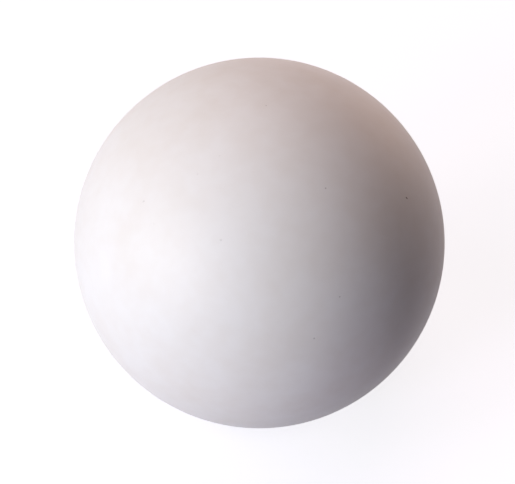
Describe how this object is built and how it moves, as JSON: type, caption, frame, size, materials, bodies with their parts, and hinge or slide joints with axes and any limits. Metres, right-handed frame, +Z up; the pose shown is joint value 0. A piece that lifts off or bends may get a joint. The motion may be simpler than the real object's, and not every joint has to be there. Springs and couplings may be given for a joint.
{
  "type": "cue ball",
  "caption": "Solid white sphere of cast resin with a satin polish: the ball that is struck with the cue in pool.",
  "frame": {"origin": "the ball's centre", "axes": "+Z up, away from the bed of the table; the ball is the same in every direction, so +X and +Y are free"},
  "size_m": [0.0572, 0.0572, 0.0572],
  "materials": {
    "resin": "white phenolic resin, cast, ground and polished, worn to a satin"
  },
  "bodies": {
    "root": {"ball": "resin"}
  },
  "joints": []
}
